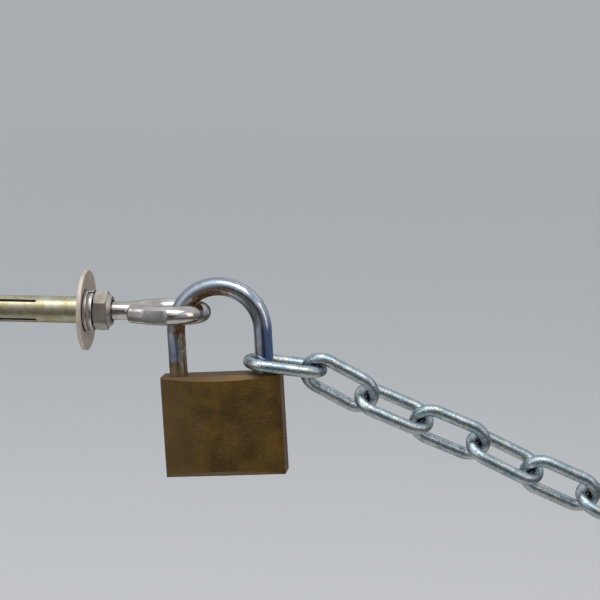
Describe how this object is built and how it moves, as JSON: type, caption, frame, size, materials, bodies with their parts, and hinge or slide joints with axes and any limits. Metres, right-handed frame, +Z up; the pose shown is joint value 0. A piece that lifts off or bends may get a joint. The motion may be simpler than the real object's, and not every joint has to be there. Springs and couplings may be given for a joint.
{
  "type": "wall chain lock",
  "caption": "Wall eye bolt with washers and nut, a brass padlock hung by its steel shackle through the eye, and a link chain held by the shackle.",
  "frame": {"origin": "where the eye bolt's axis meets the wall face", "axes": "+X out of the wall along the bolt, +Z up; the lock's front face looks towards -Y"},
  "size_m": [0.2647, 0.0308, 0.0936],
  "materials": {
    "stainless": "polished stainless steel with a brown haze",
    "zinc_steel": "bright zinc plate with a faint yellow and blue cast",
    "shackle_steel": "polished plated steel, rust-stained where it rubs",
    "brass": "brushed brass, tarnished to a dull brown",
    "tool_steel": "plain ground steel",
    "spring_steel": "drawn spring wire"
  },
  "bodies": {
    "wall_fixing": {"fender_washer": "stainless", "flat_washer": "stainless", "spring_washer": "stainless", "hex_nut": "stainless", "eye_bolt": "stainless", "anchor_sleeve": "zinc_steel", "anchor_cone": "zinc_steel"},
    "shackle": {"shackle": "shackle_steel", "lift_cup": "brass"},
    "lock_body": {"lock_body": "brass", "shackle_keeper_pin": "tool_steel", "plug_keeper_pin": "brass", "latch_bore_plug": "brass", "chamber_plugs": "brass", "driver_pins": "brass", "pin_springs": "spring_steel", "shackle_spring": "spring_steel"},
    "plug": {"key_plug": "brass", "plug_cam": "tool_steel", "key_pins": "brass"},
    "latch_left": {"latch_bolt_left": "tool_steel"},
    "latch_right": {"latch_bolt_right": "tool_steel"},
    "link_1": {"chain_link_1": "zinc_steel"},
    "link_2": {"chain_link_2": "zinc_steel"},
    "link_3": {"chain_link_3": "zinc_steel"},
    "link_4": {"chain_link_4": "zinc_steel"},
    "link_5": {"chain_link_5": "zinc_steel"},
    "link_6": {"chain_link_6": "zinc_steel"},
    "link_7": {"chain_link_7": "zinc_steel"}
  },
  "joints": [
    {"name": "lock_swing", "type": "hinge", "parent": "wall_fixing", "child": "shackle", "pos_m": [0.04515, 0, 0], "axis": [0, 1, 0], "range_deg": [-35, 35]},
    {"name": "lock_open", "type": "slide", "parent": "shackle", "child": "lock_body", "axis": [0.068, -0.003, -0.9977], "range_m": [0, 0.009], "deforming": ["shackle_spring"]},
    {"name": "plug_turn", "type": "hinge", "parent": "lock_body", "child": "plug", "pos_m": [0.05303, -0.00034, -0.02274], "axis": [-0.068, 0.003, 0.9977], "range_deg": [0, 90]},
    {"name": "latch_left_draw", "type": "slide", "parent": "lock_body", "child": "latch_left", "axis": [0.9967, -0.0435, 0.068], "range_m": [0, 0.0032]},
    {"name": "latch_right_draw", "type": "slide", "parent": "lock_body", "child": "latch_right", "axis": [-0.9967, 0.0435, -0.068], "range_m": [0, 0.0032]},
    {"name": "link_1_turn", "type": "hinge", "parent": "shackle", "child": "link_1", "pos_m": [0.06932, -0.00105, -0.02163], "axis": [-0.068, 0.003, 0.9977], "range_deg": [-60, 60]},
    {"name": "link_2_swing", "type": "hinge", "parent": "link_1", "child": "link_2", "pos_m": [0.09019, -0.00079, -0.02047], "axis": [-0.0036, -0.9994, -0.0347], "range_deg": [-35, 8]},
    {"name": "link_3_swing", "type": "hinge", "parent": "link_2", "child": "link_3", "pos_m": [0.10912, -0.00079, -0.03122], "axis": [0.408, -0.4384, 0.8008], "range_deg": [-45, 45]},
    {"name": "link_4_swing", "type": "hinge", "parent": "link_3", "child": "link_4", "pos_m": [0.13001, -0.00079, -0.03945], "axis": [-0.1642, -0.8988, -0.4065], "range_deg": [-45, 45]},
    {"name": "link_5_swing", "type": "hinge", "parent": "link_4", "child": "link_5", "pos_m": [0.15091, -0.00079, -0.04765], "axis": [0.3294, -0.4384, 0.8363], "range_deg": [-45, 45]},
    {"name": "link_6_swing", "type": "hinge", "parent": "link_5", "child": "link_6", "pos_m": [0.1711, -0.00079, -0.05747], "axis": [-0.1887, -0.8988, -0.3957], "range_deg": [-45, 45]},
    {"name": "link_7_swing", "type": "hinge", "parent": "link_6", "child": "link_7", "pos_m": [0.19181, -0.00079, -0.06614], "axis": [0.3512, -0.4384, 0.8273], "range_deg": [-45, 45]}
  ],
  "couplings": [
    {"joint": "plug_turn", "follows": "lock_open", "rad_per_m": 174.53},
    {"joint": "latch_left_draw", "follows": "lock_open", "ratio": 0.35556},
    {"joint": "latch_right_draw", "follows": "lock_open", "ratio": 0.35556}
  ]
}
